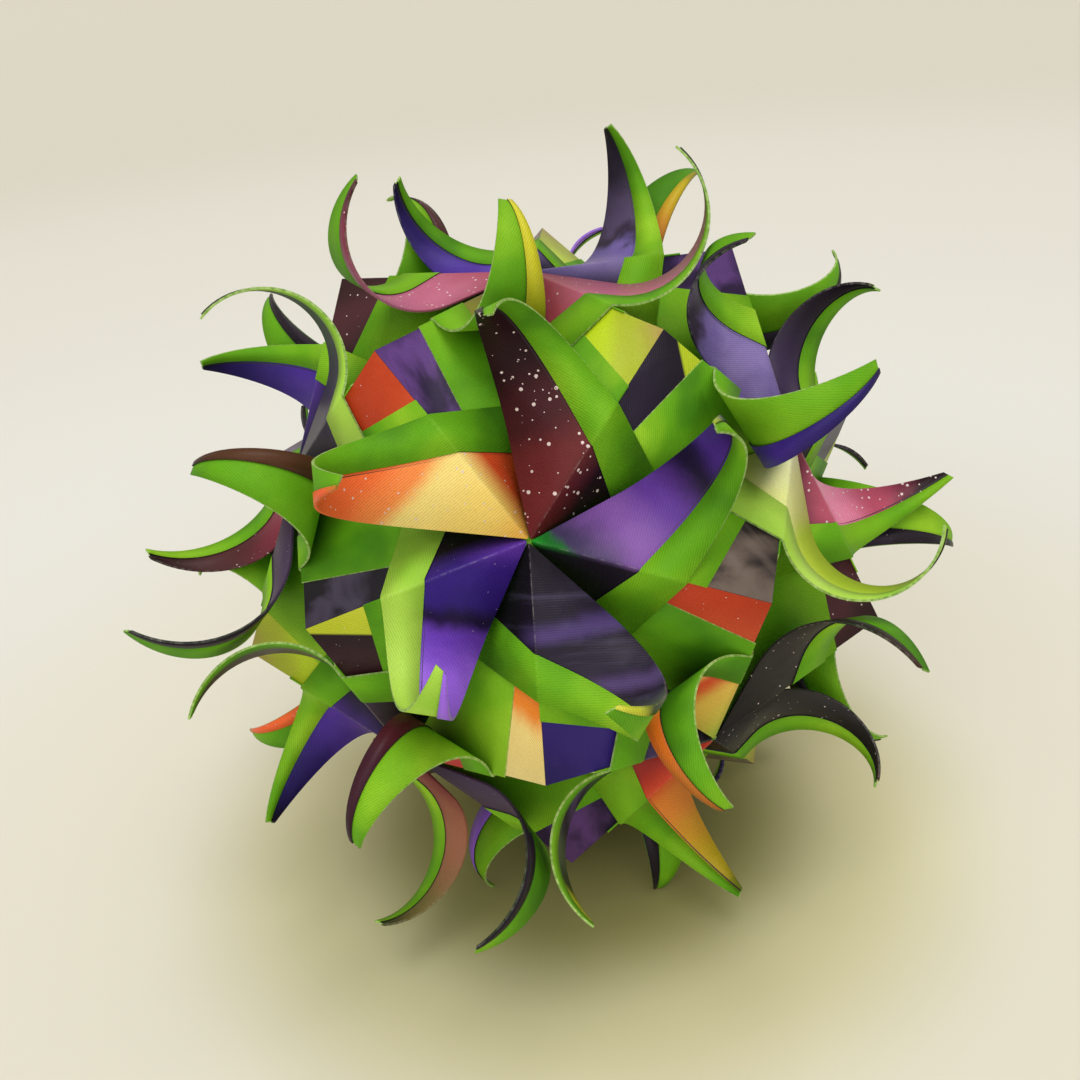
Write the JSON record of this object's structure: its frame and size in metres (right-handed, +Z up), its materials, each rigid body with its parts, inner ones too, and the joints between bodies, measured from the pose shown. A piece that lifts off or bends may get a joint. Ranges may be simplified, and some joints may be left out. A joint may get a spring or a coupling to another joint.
{
  "type": "kusudama paper ball",
  "caption": "Folded and cut paper ball: low pyramids between icosahedron edges, with a rosette of long outward-curled petals at each vertex.",
  "frame": {"origin": "centre of the bounding box on the ground the ball stands on", "axes": "+Z up along a five-fold axis of the ball, from the lowest vertex to the top one; -Y is the side seen in the picture"},
  "size_m": [0.145, 0.1442, 0.1311],
  "materials": {
    "base_1": "matt",
    "base_2": "matt",
    "base_3": "matt",
    "base_4": "matt",
    "base_5": "matt",
    "crown_1": "matt",
    "crown_2": "matt",
    "crown_3": "matt",
    "crown_4": "matt",
    "crown_5": "matt",
    "hip_1": "matt",
    "hip_2": "matt",
    "hip_3": "matt",
    "hip_4": "matt",
    "hip_5": "matt",
    "shoulder_1": "matt",
    "shoulder_2": "matt",
    "shoulder_3": "matt",
    "shoulder_4": "matt",
    "shoulder_5": "matt",
    "waist_1": "matt",
    "waist_10": "matt",
    "waist_2": "matt",
    "waist_3": "matt",
    "waist_4": "matt",
    "waist_5": "matt",
    "waist_6": "matt",
    "waist_7": "matt",
    "waist_8": "matt",
    "waist_9": "matt"
  },
  "bodies": {
    "root": {"base_1": "base_1", "base_2": "base_2", "base_3": "base_3", "base_4": "base_4", "base_5": "base_5", "crown_1": "crown_1", "crown_2": "crown_2", "crown_3": "crown_3", "crown_4": "crown_4", "crown_5": "crown_5", "hip_1": "hip_1", "hip_2": "hip_2", "hip_3": "hip_3", "hip_4": "hip_4", "hip_5": "hip_5", "shoulder_1": "shoulder_1", "shoulder_2": "shoulder_2", "shoulder_3": "shoulder_3", "shoulder_4": "shoulder_4", "shoulder_5": "shoulder_5", "waist_1": "waist_1", "waist_10": "waist_10", "waist_2": "waist_2", "waist_3": "waist_3", "waist_4": "waist_4", "waist_5": "waist_5", "waist_6": "waist_6", "waist_7": "waist_7", "waist_8": "waist_8", "waist_9": "waist_9"}
  },
  "joints": []
}
